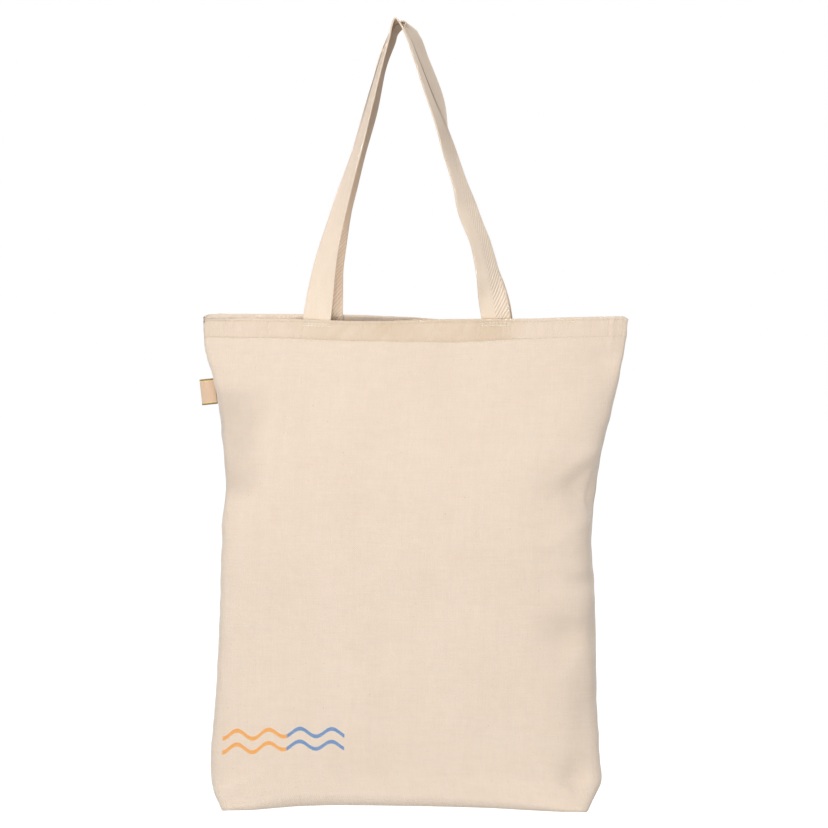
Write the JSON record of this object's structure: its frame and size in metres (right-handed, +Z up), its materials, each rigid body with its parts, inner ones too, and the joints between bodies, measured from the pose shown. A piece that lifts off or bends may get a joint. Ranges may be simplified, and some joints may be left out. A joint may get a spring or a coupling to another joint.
{
  "type": "tote bag",
  "caption": "Open-topped canvas tote bag with a turned-in hem, a boxed base, flat webbing handles and a folded ribbon tag, shown hanging by its handles.",
  "frame": {"origin": "top of the peg that carries the bag, under the crests of both handles", "axes": "+Z up along the hanging bag, +X to the right seen from the front, the front faces -Y"},
  "size_m": [0.3665, 0.0782, 0.674],
  "materials": {
    "canvas": "matte, unbleached plain-weave cotton",
    "webbing": "matte, unbleached herringbone cotton tape",
    "ribbon": "satin ribbon with darker edges"
  },
  "bodies": {
    "root": {"front_panel": "canvas", "back_panel": "canvas", "front_handle": "webbing", "back_handle": "webbing", "left_side_seam": "canvas", "right_side_seam": "canvas", "bottom_seam": "canvas", "side_tag": "ribbon"}
  },
  "joints": []
}
